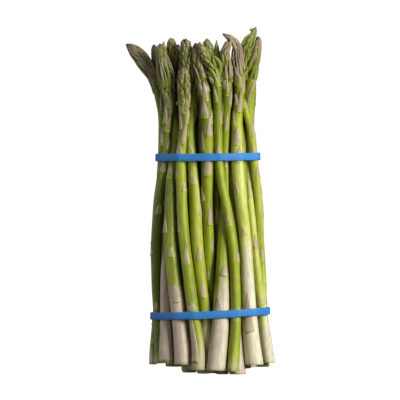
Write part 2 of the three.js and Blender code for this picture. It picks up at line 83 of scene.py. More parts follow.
SPEARS = {
    "spear_01_bent": dict(
        head="streaky", head_from=192, tones=(0.30, 0.62, 0.9), pale=(0, 26), warm=0.3,
        tint=0.2, bracts=[(19, -20, 6), (44, -10, 6), (128, -50, 9), (152, -20, 12), (179, 25, 14)],
    ),
    "spear_02": dict(
        head_from=183, tones=(0.4, 0.7, 0.9), pale=(52, 118), warm=1.0, bloom=0.6,
        tint=0.3, olive_end=0.9,
        bracts=[(56, 20, 12), (96, -30, 12), (140, 30, 13), (172, -30, 13), (181, 40, 13)],
    ),
    "spear_03": dict(
        head="streaky", head_from=187, tones=(0.02, 0.46, 0.62), pale=(0, 20), warm=0.3, tint=0.3,
        bracts=[
            (44, -10, 6), (81, -75, 10), (110, 20, 8), (139, 0, 7), (139, -80, 5), (154, 50, 9),
            (157, -65, 13), (167, 15, 11.5), (172, -50, 15), (179, 40, 13), (183, -20, 14),
            (188, 70, 13),
        ],
        sprigs=[(
            [(211, -25.2, 1.5), (217, -24.6, 1.5), (222.5, -24.4, 1.2), (228.2, -24.8, 0.8)], 1.0,
            [
                (0.0, -30, 9, 1.7), (0.14, 50, 9, 1.7), (0.3, -50, 8.5, 1.6), (0.42, 20, 8.5, 1.6),
                (0.52, -40, 8.5, 1.5),
            ],
        )],
    ),
    "spear_04": dict(
        head="blunt", head_from=190, pale=(52, 66), warm=1.0, bloom=0.4, tint=0.45,
        bracts=[
            (44, 60, 11), (49, 0, 13), (80, 0, 8), (97, -62, 12), (134, -20, 10.5), (160, 70, 12),
            (172, -40, 12), (183, -10, 9), (190, -60, 12),
        ],
    ),
    "spear_05_short": dict(
        head="half_open", head_from=177, tones=(0.02, 0.46, 0.6), pale=(-14, 44), warm=0.9,
        bloom=0.2, tint=0.7,
        bracts=[
            (8, -38, 41), (43.5, 0, 6), (75, 0, 12), (98, -72, 12), (125, 45, 8), (134.5, -75, 8),
            (151, -30, 9), (158, 10, 17), (168, -55, 13), (172, 45, 13), (179, -10, 13), (181, -75, 14),
        ],
        pods=[(187.5, -24, 9.5, 1.5, 0.3), (187, 30, 10, 1.7, 0.5)],
    ),
    # spear_06's tint of 1.0 makes its green paler than its neighbours': painted light on a stalk that
    # spear_07 shades.
    "spear_06": dict(
        head="half_open", head_from=190, tones=(0.04, 0.48, 0.72), pale=(10, 64), warm=0.35, tint=1.0,
        bracts=[
            (22, 60, 12), (52, 10, 13), (78, 15, 9), (109, 72, 10), (130, -20, 10.5), (151, -20, 9),
            (163, -60, 12), (174, 88, 10), (182, 84, 12), (188, -64, 12),
        ],
        pods=[(200, 30, 11, 2.0, 0.2)],
    ),
    "spear_07": dict(
        head="half_open", head_from=194, tones=(0.14, 0.5, 0.72), pale=(0, 30), warm=0.4, bloom=0.2,
        tint=0.7,
        bracts=[
            (65, -20, 7), (84, 55, 11), (102, 30, 15), (119, -70, 10), (136.3, 0, 18), (154, -62, 14),
            (163, 25, 15), (172, 72, 10), (176, -22, 15), (187.5, 5, 16), (192, -48, 10), (194, 66, 9),
        ],
        pods=[(199.5, 15, 9, 2.0, 0.4)],
    ),
    # spear_08's tint of 0.0 and its low tones darken its stalk and head: painted shade.
    "spear_08": dict(
        head="beaded", head_from=191, tones=(0.0, 0.26, 0.5), pale=(10, 60), warm=0.4,
        tint=0.0, bracts=[(66, -20, 10), (104, 20, 12), (140, -40, 12), (170, 10, 12), (186, -20, 12)],
        sprigs=[(
            [(210, 11.6, 2.5), (217, 12, 2.5), (223, 11.6, 2), (229.2, 11.4, 1.5)], 1.0,
            [
                (0.0, -60, 9, 2.2), (0.06, -90, 10, 2.0), (0.2, 20, 8.5, 2.0), (0.26, -80, 9, 1.9),
                (0.4, 30, 8, 1.7), (0.52, -10, 8, 1.6),
            ],
        )],
    ),
    "spear_09_crossing": dict(
        head="beaded", head_from=196, tones=(0.06, 0.38, 0.58), pale=(-16, 26), bloom=0.15, tint=0.8,
        bracts=[
            (36, 0, 6), (77, 60, 9), (101.5, -20, 9), (150.5, 0, 8), (172, 60, 10), (187, -35, 12),
            (198, 35, 13),
        ],
        pods=[
            (197, -62, 10, 1.5, 2.2), (202, 64, 9, 1.5, 1.6), (205, 84, 9, 1.5, 2.4),
            (208, 70, 9, 1.5, 2.4), (209, 48, 8, 1.4, 1.4), (203, -70, 8, 1.3, 1.6),
        ],
        sprigs=[(
            [
                (205, 14.2, 0.5), (210, 14, 1.2), (214, 13, 1.8), (216.8, 10.8, 2), (217.6, 8, 1.6),
            ],
            0.8,
            [
                (0.02, 20, 7, 1.3), (0.12, -60, 6.5, 1.4), (0.22, 80, 6.5, 1.4), (0.34, 10, 6, 1.4),
                (0.42, -70, 6, 1.3), (0.5, 90, 6, 1.3), (0.6, 20, 5.5, 1.2), (0.7, -50, 5, 1.1),
                (0.76, 70, 4.5, 1.1),
            ],
        )],
    ),
    "spear_10": dict(
        head="slender", head_from=196, tones=(0.22, 0.48, 0.56), pale=(30, 88), warm=0.45,
        bloom=0.4, tint=0.8,
        bracts=[
            (43, -35, 10), (67, 20, 7), (142, 25, 11), (155, -75, 9), (167, 5, 14), (178, -80, 12),
            (184, 65, 14), (191, -5, 14), (196, -50, 12),
        ],
        pods=[(199, 45, 11, 1.8, 0.4)],
    ),
    "spear_11": dict(
        head="streaky", head_from=202, tones=(0.56, 0.74, 0.9), pale=(40, 128), warm=0.05,
        bloom=0.2, tint=1.8,
        bracts=[
            (28.5, -18, 28), (81, 82, 10), (95, -8, 6), (123, -50, 10), (145, 20, 12), (157, -12, 13),
            (171, -62, 10), (180, 15, 15), (185, -38, 8), (193, 50, 13), (197, -5, 13), (199, -60, 11),
        ],
        pods=[(203, -30, 10, 1.8, 0.5)],
        sprigs=[(
            [(221, 25, 2.5), (226, 23.4, 2.2), (229.2, 21, 2), (231.4, 17.8, 1.6)], 0.9,
            [(0.05, -40, 6, 1.2), (0.25, 30, 6, 1.2), (0.42, -50, 5.5, 1.1), (0.5, 20, 5.5, 1.0)],
        )],
    ),
    "spear_12": dict(
        head="feathery", head_from=200, pale=(-34, 62), warm=0.3, tint=1.5, tip_share=0.5,
        bracts=[
            (47, 80, 5), (77, 5, 12), (108, 75, 11), (124, 80, 6), (134, 35, 10), (147, 0, 12),
            (163, 55, 13), (181, 60, 10), (196, -50, 11),
        ],
        sprigs=[(
            [(212, 28.6, 0), (221, 28.4, 0), (227.5, 29.5, 0), (231.8, 32.4, 0), (234.2, 36, 0)],
            0.7,
            [
                (0.05, -60, 6, 1.0), (0.2, 20, 6, 1.0), (0.3, -70, 5, 0.9), (0.42, 10, 5, 0.9),
                (0.5, -60, 5, 0.9), (0.6, 60, 5, 0.8), (0.68, -40, 5, 0.8), (0.78, 30, 4, 0.7),
            ],
        ), (
            [(224, 36.2, 0), (229.8, 37.4, 0), (234, 38.2, 0), (238.2, 38.7, 0)], 0.8,
            [
                (0.0, 10, 8, 1.0), (0.14, 60, 7, 0.9), (0.3, 0, 6.5, 0.9), (0.48, 40, 6, 0.8),
            ],
        ), (
            [
                (237, 38.6, 0.5), (239, 37.7, 0.5), (239.1, 36.6, 0.5), (238.1, 35.5, 0.5),
                (236.4, 34.8, 0.5),
            ],
            0.14,
            [(0.88, 0, 1.7, 0.7)],
        )],
    ),
    "spear_13": dict(
        head="fingered", head_from=196, tones=(0.0, 0.44, 0.52), pale=(4, 70), warm=0.15, tint=1.6,
        bracts=[
            (47, 0, 8), (86, 30, 10), (121, 0, 12), (150, 30, 10), (169.6, 82, 9), (187.5, 25, 14),
            (195, 60, 12),
        ],
        sprigs=[(
            [(214, 31.8, 1), (220, 34.6, 1.5), (225, 37.4, 1.5), (231.6, 41, 1)], 1.1,
            [
                (0.0, -30, 10, 1.6), (0.12, 60, 10, 1.6), (0.28, -60, 9, 1.5), (0.38, 20, 9, 1.5),
                (0.5, 80, 8, 1.3), (0.56, -20, 7.5, 1.3),
            ],
        ), (
            [(204, 35.2, 2.5), (211, 37.5, 3), (218, 39.5, 3), (227.6, 41.4, 2)], 1.0,
            [
                (0.0, -30, 11, 1.5), (0.1, 60, 10, 1.5), (0.25, -60, 10, 1.5), (0.36, 20, 10, 1.4),
                (0.5, 80, 9, 1.3), (0.58, -20, 8, 1.3),
            ],
        ), (
            [(207, 32.2, 3), (213, 34.6, 3.5), (218.5, 37.2, 3.5), (224, 39.2, 3)], 1.0,
            [
                (0.0, -30, 9, 1.5), (0.15, 60, 9, 1.5), (0.32, -50, 8, 1.4), (0.46, 30, 8, 1.3),
                (0.56, -10, 7, 1.2),
            ],
        )],
    ),
    "spear_26": dict(
        head="slender", head_from=199, pale=(12, 70), warm=0.3, tint=0.7,
        bracts=[
            (30, 200, 13), (62, 240, 13), (92, 180, 13), (120, 250, 12), (142, 210, 12), (160, 190, 12),
            (172, 240, 12),
        ],
    ),
}
REAR_HEADS = ("closed", "slender", "closed", "half_open", "slender")

# ---- Curves ----


def smooth_step(low, high, value):
    """0 below low, 1 above high, and an easy turn between them."""
    share = np.clip((np.asarray(value, float) - low) / (high - low), 0, 1)
    return share * share * (3 - 2 * share)


def mix(a, b, share):
    return a + (b - a) * share


def unit(vectors):
    return vectors / np.linalg.norm(vectors, axis=-1, keepdims=True)


def curve_through(knots, values, at):
    """A cubic through values at knots, with each slope taken from the knots on its two sides."""
    knots, values, at = (np.asarray(given, float) for given in (knots, values, at))
    slopes = np.gradient(values, knots)
    i = np.clip(np.searchsorted(knots, at, side="right") - 1, 0, len(knots) - 2)
    step = knots[i + 1] - knots[i]
    t = (at - knots[i]) / step
    rise = values[i] * (2 * t**3 - 3 * t**2 + 1) + values[i + 1] * (3 * t**2 - 2 * t**3)
    return rise + step * (slopes[i] * (t**3 - 2 * t**2 + t) + slopes[i + 1] * (t**3 - t**2))


def softened(values, width):
    """A running mean over width samples that keeps both ends where they are."""
    reach = width // 2
    ends = (2 * values[0] - values[reach:0:-1], 2 * values[-1] - values[-2 : -reach - 2 : -1])
    padded = np.concatenate([ends[0], values, ends[1]])
    return np.convolve(padded, np.full(2 * reach + 1, 1 / (2 * reach + 1)), "valid")


class Line:
    """A curved middle line, its girth, and the direction that its side 0 faces."""

    def __init__(self, points, girth, facing):
        steps = np.linalg.norm(np.diff(points, axis=0), axis=1)
        self.along = np.concatenate([[0], np.cumsum(steps)])
        self.points, self.girth, self.facing = points, girth, facing
        self.length = self.along[-1]
        self.tangent = unit(np.gradient(points, self.along, axis=0))

    def _at(self, rows, along):
        return np.stack([np.interp(along, self.along, rows[:, k]) for k in range(3)], axis=-1)

    def radius(self, along):
        return np.interp(along, self.along, self.girth)

    def axes(self, along):
        """The point on the middle line, its direction, and the directions of sides 0 and 90."""
        along = np.asarray(along, float)
        direction = unit(self._at(self.tangent, along))
        past = along - np.clip(along, 0, self.length)
        point = self._at(self.points, along) + direction * past[..., None]
        inward = (direction * self.facing).sum(-1, keepdims=True)
        near = unit(self.facing - direction * inward)
        return point, direction, near, np.cross(direction, near)

    def place(self, along, side, reach):
        """The point that far along, on that side (degrees), at that reach from the middle line."""
        point, _, near, right = self.axes(along)
        turn = np.radians(side)[..., None]
        return point + (near * np.cos(turn) + right * np.sin(turn)) * np.asarray(reach)[..., None]


TIP_RUN = 16


class Spine(Line):
    """The middle line of a CAD spear, with distance along it measured from its cut end."""

    STEP = 0.5
    SOFTEN = 15
    NEAR_SIDE = np.array([0.0, -1.0, 0.0])

    def __init__(self, node):
        heights, x, y, radius = level_rings(node)
        z = np.arange(heights[0], heights[-1] + self.STEP, self.STEP)
        z[-1] = heights[-1]
        x, y = (softened(curve_through(heights, values, z), self.SOFTEN) for values in (x, y))
        girth = np.maximum(np.interp(z, heights, radius), 0)
        super().__init__(np.stack([x, y, z], axis=1), girth, self.NEAR_SIDE)
        self.foot = heights[0]

    def thin_tip(self, share):
        """Brings the girth down to a share of itself over the last stretch."""
        low, high = self.length - TIP_RUN, self.length - 0.3 * TIP_RUN
        self.girth = self.girth * mix(1.0, share, smooth_step(low, high, self.along))

    def at_height(self, height):
        """How far along the spear a height is."""
        return float(np.interp(height, self.points[:, 2], self.along))

    def height(self, along):
        return np.interp(along, self.along, self.points[:, 2])


def level_rings(node):
    """Height, x, y and radius of each level ring of a CAD spear, from its cut end up."""
    rings = {}
    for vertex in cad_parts[node].data.vertices:
        x, y, z = (value / MM for value in vertex.co)
        rings.setdefault(round(z, 2), set()).add((round(x, 3), round(y, 3)))
    rows = []
    for height in sorted(rings):
        ring = np.array(sorted(rings[height]))
        x, y = ring.mean(0)
        across = np.linalg.eigvalsh(np.cov(ring.T, bias=True))[0] if len(ring) > 2 else 0
        rows.append((height, x, y, math.sqrt(max(0, 2 * across))))
    return np.array(rows).T


# ---- Surfaces ----

SKIN, LEAF, CUT = range(3)
# The last mark is the share of painted shade that darkens a surface in and near the head.
MARKS = ("pale", "tint", "tone", "edge", "bloom", "bud")


class Growth:
    """Collects the surfaces of one spear, and makes them one mesh."""

    def __init__(self, random, fine):
        self.random, self.fine = random, fine
        self.seat = np.array([random.uniform(-500, 500) for _ in range(3)])
        self.points, self.faces, self.slots, self.straight = [], [], [], []
        self.marks = {name: [] for name in MARKS}
        self.count = 0

    def add_points(self, points, straight, **marks):
        """Adds an array of points, with their places on the spear if it were straight."""
        flat = np.asarray(points, float).reshape(-1, 3)
        self.points.append(flat)
        self.straight.append(np.asarray(straight, float).reshape(-1, 3) + self.seat)
        for name in MARKS:
            values = np.broadcast_to(marks.get(name, 0.0), np.shape(points)[:-1])
            self.marks[name].append(np.ravel(values))
        numbers = np.arange(self.count, self.count + len(flat)).reshape(np.shape(points)[:-1])
        self.count += len(flat)
        return numbers

    def add_quads(self, a, b, c, d, slot):
        quads = np.stack([np.ravel(corner) for corner in (a, b, c, d)], axis=1)
        self.faces += quads.tolist()
        self.slots += [slot] * len(quads)

    def sheet(self, rows, slot, closed=False, inward=False):
        """Quads over a grid of point numbers, rows along the spear and columns round it."""
        right = np.roll(rows, -1, axis=1) if closed else rows[:, 1:]
        left = rows if closed else rows[:, :-1]
        corners = [left[:-1], right[:-1], right[1:], left[1:]]
        self.add_quads(*(corners[::-1] if inward else corners), slot)

    def cap(self, ring, centre, slot, inward=False):
        """Triangles from a closed ring of point numbers to one point."""
        following = np.roll(ring, -1)
        pairs = zip(following, ring) if inward else zip(ring, following)
        self.faces += [[int(a), int(b), int(centre)] for a, b in pairs]
        self.slots += [slot] * len(ring)

    def shell(self, outer, inner, slot):
        """A thin closed leaf between an outer and an inner grid of point numbers."""
        self.sheet(outer, slot)
        self.sheet(inner, slot, inward=True)

        def rim(grid):
            return np.concatenate([grid[0], grid[1:, -1], grid[-1, -2::-1], grid[-2:0:-1, 0]])

        out, into = rim(outer), rim(inner)
        self.add_quads(np.roll(out, -1), out, into, np.roll(into, -1), slot)

    def tube(self, line, rows, sides, slot, **marks):
        """A closed tube round a line, pointed at both ends."""
        along, side = np.meshgrid(
            np.linspace(0, line.length, rows), np.arange(sides) * 360 / sides, indexing="ij"
        )
        reach = line.radius(along)
        straight = straight_place(along, side, reach)
        numbers = self.add_points(line.place(along, side, reach), straight, **marks)
        self.sheet(numbers, slot, closed=True)
        ends = self.add_points(line.points[[0, -1]], straight[[0, -1], 0], **marks)
        self.cap(numbers[0], ends[0], slot, inward=True)
        self.cap(numbers[-1], ends[1], slot)

    def mesh(self, name, materials):
        mesh = bpy.data.meshes.new(name)
        points = np.concatenate(self.points) * MM
        mesh.from_pydata(points.tolist(), [], self.faces)
        mesh.polygons.foreach_set("material_index", self.slots)
        mesh.polygons.foreach_set("use_smooth", [slot != CUT for slot in self.slots])
        for mark, values in self.marks.items():
            attribute = mesh.attributes.new(mark, "FLOAT", "POINT")
            attribute.data.foreach_set("value", np.concatenate(values).astype(np.float32))
        attribute = mesh.attributes.new("straight", "FLOAT_VECTOR", "POINT")
        straight = np.concatenate(self.straight).astype(np.float32)
        attribute.data.foreach_set("vector", straight.ravel())
        for material in materials:
            mesh.materials.append(material)
        mesh.update()
        return mesh


def straight_place(along, side, reach):
    """Where a point would be if the spear were straight and upright."""
    turn = np.radians(side)
    along, reach = np.broadcast_to(along, turn.shape), np.broadcast_to(reach, turn.shape)
    return np.stack([np.cos(turn) * reach, np.sin(turn) * reach, along], axis=-1)


# ---- Stalk ----

STALK_STEP = 1.8
CORE_SHARE = 0.7
FEATHERY_CORE = 0.4
LEVEL_RUN = 9.0
NODE_SWELL = 0.28
NODE_HALF = 75
SWELL_FADE = {"below": 3.0, "above": 1.2}
RIB_DEPTH = 0.012
# How far below its tip a head starts, where its spear gives no height for it.
USUAL_HEAD = (38, 46)
HEAD_EASE = 14
OLIVE_RUN = (0.5, 4.0)
# The heights between which the green deepens.
DEEPENING = (150, 195)


class Stalk:
    """The stalk's surface: its radius at any place, with the swellings under its scale leaves."""

    def __init__(self, spine, look, random):
        self.spine, self.look = spine, look
        if look["head_from"] is None:
            self.head = spine.length - random.uniform(*USUAL_HEAD)
        else:
            self.head = spine.at_height(look["head_from"])
        self.core = FEATHERY_CORE if look["head"] == "feathery" else CORE_SHARE
        self.lobes = [(n, random.uniform(0, 360), random.uniform(-0.6, 0.6)) for n in (2, 3, 5)]
        self.bumps = []

    def reach(self, along, side):
        spine = self.spine
        within = np.clip(along, 0, spine.length)
        core = mix(1, self.core, smooth_step(self.head, self.head + HEAD_EASE, within))
        radius = spine.radius(within) * core
        ribs = sum(
            RIB_DEPTH * np.cos(np.radians(lobes * side + start + twist * along))
            for lobes, start, twist in self.lobes
        )
        swell = np.zeros(np.broadcast(along, side).shape)
        for base, middle, size in self.bumps:
            gap = base - along
            fade = np.where(gap >= 0, SWELL_FADE["below"], SWELL_FADE["above"])
            under = np.exp(-np.abs(gap) / fade)
            off = np.clip((side - middle + 180) % 360 - 180, -NODE_HALF, NODE_HALF)
            swell = swell + size * under * np.cos(np.radians(off * 90 / NODE_HALF))
        return radius * (1 + ribs) + swell

    def pale(self, along):
        """How far the skin has lost its green: fully near the cut end, apart from its last rim."""
        low, high = self.look["pale"]
        fade = 1 - smooth_step(low, max(high, low + 1), self.spine.height(along))
        rim = self.look["olive_end"] * (1 - smooth_step(*OLIVE_RUN, along))
        return fade * (1 - rim)

    def tint(self, along):
        """The green, which deepens towards the head."""
        return self.look["tint"] * mix(1.0, 0.4, smooth_step(*DEEPENING, self.spine.height(along)))


def grow_stalk(growth, stalk, sides):
    """The stalk from its cut end to the point of its head, closed at both ends."""
    spine, look = stalk.spine, stalk.look
    runs = int(spine.length / STALK_STEP)
    along = np.concatenate([[0.5, 1.5], np.linspace(3, spine.length - 0.6, runs)])
    side = np.arange(sides) * 360 / sides
    along, side = np.meshgrid(along, side, indexing="ij")
    reach = stalk.reach(along, side)
    points = spine.place(along, side, reach)
    middle, direction, _, _ = spine.axes(along)
    tilt = (points - middle)[..., 2] / direction[..., 2]
    levelling = np.clip(1 - along / LEVEL_RUN, 0, 1)
    points = points - direction * (tilt * levelling)[..., None]
    # The share of painted shade over the core inside the head, where its leaves shade it.
    core = smooth_step(stalk.head + 6, stalk.head + 18, along)
    marks = dict(pale=stalk.pale(along), tint=stalk.tint(along), bloom=look["bloom"], bud=core)
    numbers = growth.add_points(points, straight_place(along, side, reach), **marks)
    growth.sheet(numbers, SKIN, closed=True)
    tip, _, _, _ = spine.axes(np.array([spine.length - 0.3]))
    point = growth.add_points(tip, straight_place(spine.length, np.zeros(1), 0))[0]
    growth.cap(numbers[-1], point, SKIN)
    grow_cut_end(growth, points[0], spine.foot, numbers[0])


# Each ring of the cut face, as its share of the rim and how far above the foot it is.
CUT_RINGS = ((0.955, 0.0), (0.8, 0.05), (0.45, 0.22))
CUT_DISH = 0.3


def grow_cut_end(growth, rim, foot, rim_numbers):
    """The cut face: a small bevel, then a face that dishes in as it dries."""
    centre = rim.mean(0)
    rings = []
    for share, rise in CUT_RINGS:
        ring = centre + (rim - centre) * share
        ring[:, 2] = foot + rise
        rings.append(growth.add_points(ring, ring, pale=1.0))
    growth.sheet(np.stack([rings[0], rim_numbers]), CUT, closed=True)
    for outer, inner in zip(rings, rings[1:]):
        growth.sheet(np.stack([inner, outer]), CUT, closed=True)
    middle = np.array([[centre[0], centre[1], foot + CUT_DISH]])
    growth.cap(rings[-1], growth.add_points(middle, middle, pale=1.0)[0], CUT, inward=True)


# ---- Leaves and pods ----


def clasping(t):
    """The half width of a leaf that clasps the stalk: widest at its base."""
    return np.maximum(1 - t**1.5, 0) + 0.015


def lance(t):
    """The half width of a leaf that is widest a third of the way up."""
    return np.sin(math.pi * np.clip(0.2 + 0.8 * t, 0, 1)) ** 0.9 + 0.015


LEAF_FOOT = (0.0, 0.05, 0.12)
# A leaf's base tone: the first takes the lip green, lighter than the leaf's own green as a painted
# highlight; over a pale stalk the base takes the second, a tan.
LIP_HIGHLIGHT_TONE = -0.35
PALE_LIP_TONE = 0.3
BASE_WAVE = 0.2


def grow_leaf(
    growth, line, under, base, side, length, half_width, tones, outline=clasping, ledge=0.3,
    stand=0.2, bulge=0.0, sway=0.0, thick=0.4, lip=0.1, arch=0.1, rows=8, columns=7, pale=0.0,
    tint=0.4, bloom=0.3, bud=1.0, edge=1.0, fresh=0.7,
):
    """A scale leaf: a pointed shell that lies on the surface under it and overhangs its base.

    under(along) is the reach that it lies on; ledge is how far its base stands out, stand how far
    its tip does, and bulge how far its middle does; sway turns its tip sideways, in degrees; lip
    is the share of its length that stays green at the base, where the stalk isn't pale: its own
    green, made lighter as a painted highlight; arch is how far that base curves up at its sides;
    edge is how pale its dry edges are, fresh how tan its lower half is, and the mark after bloom
    how far painted shade darkens it.
    """
    up = np.concatenate([LEAF_FOOT, np.linspace(0.22, 1, rows - len(LEAF_FOOT))])
    t, u = np.meshgrid(up, np.linspace(-1, 1, columns), indexing="ij")
    along = base + length * t + arch * length * u * u * (1 - t)
    lift = mix(ledge, 0.25 * ledge, smooth_step(0, 0.3, t)) + stand * t**2
    lift = lift + bulge * np.sin(math.pi * np.clip(t * 1.05, 0, 1))
    out = under(along) + lift * (1 - 0.75 * u * u) + 0.08
    turn = np.degrees(half_width * outline(t) / np.maximum(out, 0.35))
    where = side + u * np.clip(turn, 0, 105) + sway * t * t
    along = along + BASE_WAVE * np.sin(4 * u + growth.random.uniform(0, 6.28)) * (1 - t) ** 3
    into = out - mix(thick, 0.08, smooth_step(0.1, 1, t)) * (1 - 0.6 * u * u)
    middle, rim, tip = tones
    tone = mix(middle, rim, np.abs(u) ** 2.5)
    tone = mix(tone, tip, smooth_step(0.45, 0.95, t))
    tone = tone * mix(fresh, 1.0, smooth_step(0.05, 0.6, t))
    lip_tone_and_highlight = mix(LIP_HIGHLIGHT_TONE, PALE_LIP_TONE, pale)
    tone = mix(lip_tone_and_highlight, tone, smooth_step(lip * 0.3, lip + 0.06, t))
    dry = edge * np.where(np.abs(u) > 0.99, 1, 0) * smooth_step(0, 0.2, t)
    grids = [
        growth.add_points(
            line.place(along, where, reach), straight_place(along, where, reach),
            tone=tone, pale=pale, tint=tint, edge=dry, bloom=bloom, bud=bud,
        )
        for reach in (out, into)
    ]
    growth.shell(grids[0], grids[1], LEAF)


def varied(random, tones, amount=0.12):
    shift = random.uniform(-amount, amount)
    return tuple(min(1.0, max(0.0, tone + shift)) for tone in tones)


LONG_LEAF = 25


def grow_bract(growth, stalk, height, side, length):
    """A scale leaf on the stalk, with the small swelling that it grows from."""
    random, spine, look = growth.random, stalk.spine, stalk.look
    base = spine.at_height(height)
    radius = float(spine.radius(base))
    upper = float(smooth_step(150, 185, height))
    pale = float(stalk.pale(np.array(base)))
    long_leaf = length > LONG_LEAF
    grow_leaf(
        growth, spine, lambda along: stalk.reach(along, np.full(np.shape(along), side)), base, side,
        length, half_width=radius * random.uniform(0.58, 0.84),
        tones=varied(random, (0.42, 0.52, 0.64), 0.14), ledge=0.16 + 0.05 * radius,
        stand=random.uniform(0.0, 0.2) + 0.4 * upper, bulge=0.1 + 0.3 * upper,
        sway=random.uniform(-12, 12), thick=0.35, lip=0.02 if long_leaf else 0.06, rows=11,
        arch=random.uniform(-0.03, 0.05), columns=9, pale=pale,
        # Bracts nearer the head take some of its painted shade.
        tint=float(stalk.tint(np.array(base))), bloom=look["bloom"], bud=0.3 * upper,
        fresh=random.uniform(0.45, 1.0),
    )


POD_PROFILE = 0.85
# Each leaf's start, side in degrees, length and half width. All but the side are shares of the pod's.
POD_LEAVES = ((0.0, 0, 0.94, 1.25), (0.24, 78, 0.72, 0.85), (0.30, -74, 0.68, 0.85))


def grow_pod(growth, spine, under, base, side, length, radius, stand, tones):
    """A side bud: a slender spindle in its own small leaves, lying along the head."""
    random = growth.random
    t = np.linspace(0, 1, 10)
    girth = radius * np.sin(math.pi * np.clip(0.16 + POD_PROFILE * t, 0, 1)) ** 0.7
    along = base + length * t
    tuck = mix(0.62, 1.0, smooth_step(0, 0.45, t))
    reach = np.maximum(under(along) * tuck - girth * 0.85, 0) + stand * t**1.6
    points = spine.place(along, side + random.uniform(-14, 14) * t, reach)
    _, _, near, right = spine.axes(np.array(base))
    turn = math.radians(side)
    pod = Line(points, np.maximum(girth, 0.05), near * math.cos(turn) + right * math.sin(turn))
    # The pod's body is darkened by painted shade where it shows between its leaves.
    growth.tube(pod, 7, 8, SKIN, tint=0.4, bloom=0.2, bud=0.7)
    tones = varied(random, tones, 0.16)
    for share, place, run, wide in POD_LEAVES if growth.fine else POD_LEAVES[:1]:
        grow_leaf(
            growth, pod, pod.radius, pod.length * share, place + random.uniform(-12, 12),
            pod.length * run * random.uniform(0.92, 1.04), radius * wide, tones,
            outline=clasping if place == 0 else lance, ledge=0.14,
            stand=random.uniform(0.0, 0.2), thick=0.25, rows=7 if growth.fine else 5, columns=5,
            bloom=0.2, edge=0.6,
        )


HEAD_CROWDING = 0.62
FOOT_SHARE = 0.16
FULL_RUN = 40
REAR_SHARE = 0.55
SHORTEST_LEAF = 3


def grow_head(growth, stalk):
    """The head: a spiral of leaves and pods that close over the core."""
    random, spine, look = growth.random, stalk.spine, stalk.look
    style = HEADS[look["head"]]
    tones = look["tones"]
    start = stalk.head
    run = spine.length - start
    count = int(style["count"] * (run / FULL_RUN) * (1.0 if growth.fine else REAR_SHARE))
    head_radius = float(spine.girth[spine.along > start].max())
    first_side = random.uniform(0, 360)

    def under(along):
        return spine.radius(np.clip(along, 0, spine.length))

    for i in range(count):
        share = (i + 0.5) / count
        base = start + (run - 5) * share**HEAD_CROWDING
        side = first_side + i * GOLDEN_ANGLE + random.uniform(-9, 9)
        top = spine.length + 0.4 - random.uniform(0, style["ragged"]) * share
        length = min(mix(*style["long"], share) * random.uniform(0.85, 1.15), top - base)
        if length < SHORTEST_LEAF:
            continue
        stand = mix(*style["stand"], share) * random.uniform(0.3, 1.3)
        half = mix(*style["wide"], share) * head_radius * random.uniform(0.85, 1.15)
        if share < FOOT_SHARE:
            grow_leaf(
                growth, spine, under, base, side, length, half * random.uniform(1.4, 1.9),
                varied(random, (tones[0] + 0.12, tones[1], tones[2] - 0.1), 0.18), ledge=0.45,
                stand=0.4 * stand, bulge=0.45, sway=random.uniform(-10, 10), lip=0.05,
                arch=random.uniform(-0.02, 0.06), rows=10,
            )
            continue
        if random.random() < style["pods"]:
            grow_pod(growth, spine, under, base, side, length, half, stand, tones)
            continue

        def tucked(along, base=base, length=length):
            closing = smooth_step(base, base + 0.45 * length, along)
            return np.maximum(under(along) * mix(0.6, 0.9, closing) - 0.1, 0.1)

        grow_leaf(
            growth, spine, tucked, base, side, length, half, varied(random, tones), outline=lance,
            ledge=0.2, stand=stand, bulge=0.6, sway=random.uniform(-10, 10), thick=0.5,
            columns=7 if growth.fine else 5, fresh=0.9,
        )


PLACED_POD_LIFT = 0.8


def grow_placed_pods(growth, stalk):
    """The side buds that are listed one by one."""
    look, spine = stalk.look, stalk.spine
    for height, side, length, radius, stand in look["pods"]:
        base = spine.at_height(height)

        def clear(along):
            return spine.radius(along) + PLACED_POD_LIFT

        grow_pod(growth, spine, clear, base, side, length, radius, stand, look["tones"])


SPRIG_ROWS = 14
BUD_STAND = 0.3


def grow_sprigs(growth, stalk):
    """The thin branches that curve free of the head, each with its own small buds."""
    look, spine = stalk.look, stalk.spine
    for path, thickness, buds in look["sprigs"]:
        heights, places, forward = np.array(path, float).T
        share = np.linspace(0, 1, len(path))
        at = np.linspace(0, 1, SPRIG_ROWS)
        z, x = curve_through(share, heights, at), curve_through(share, places, at)
        y = np.interp(z, spine.points[:, 2], spine.points[:, 1]) - np.interp(at, share, forward)
        girth = np.full(SPRIG_ROWS, thickness) * mix(1.0, 0.6, at)
        branch = Line(np.stack([x, y, z], axis=1), girth, spine.facing)
        growth.tube(branch, SPRIG_ROWS, 6, SKIN, tint=0.4)
        for share_along, side, length, radius in buds:
            base = branch.length * share_along
            grow_pod(growth, branch, branch.radius, base, side, length, radius, BUD_STAND, look["tones"])


# ---- Spears ----

GAP_TO_FILL = 18
BACK_SIDES = (120, 240)
HIDDEN_LENGTH = 12
FIRST_BRACT = (8, 26)
BRACT_LENGTH = (12, 14)
BRACT_GAP = (34, 7)
STALK_SIDES = {"near": 30, "rear": 20}


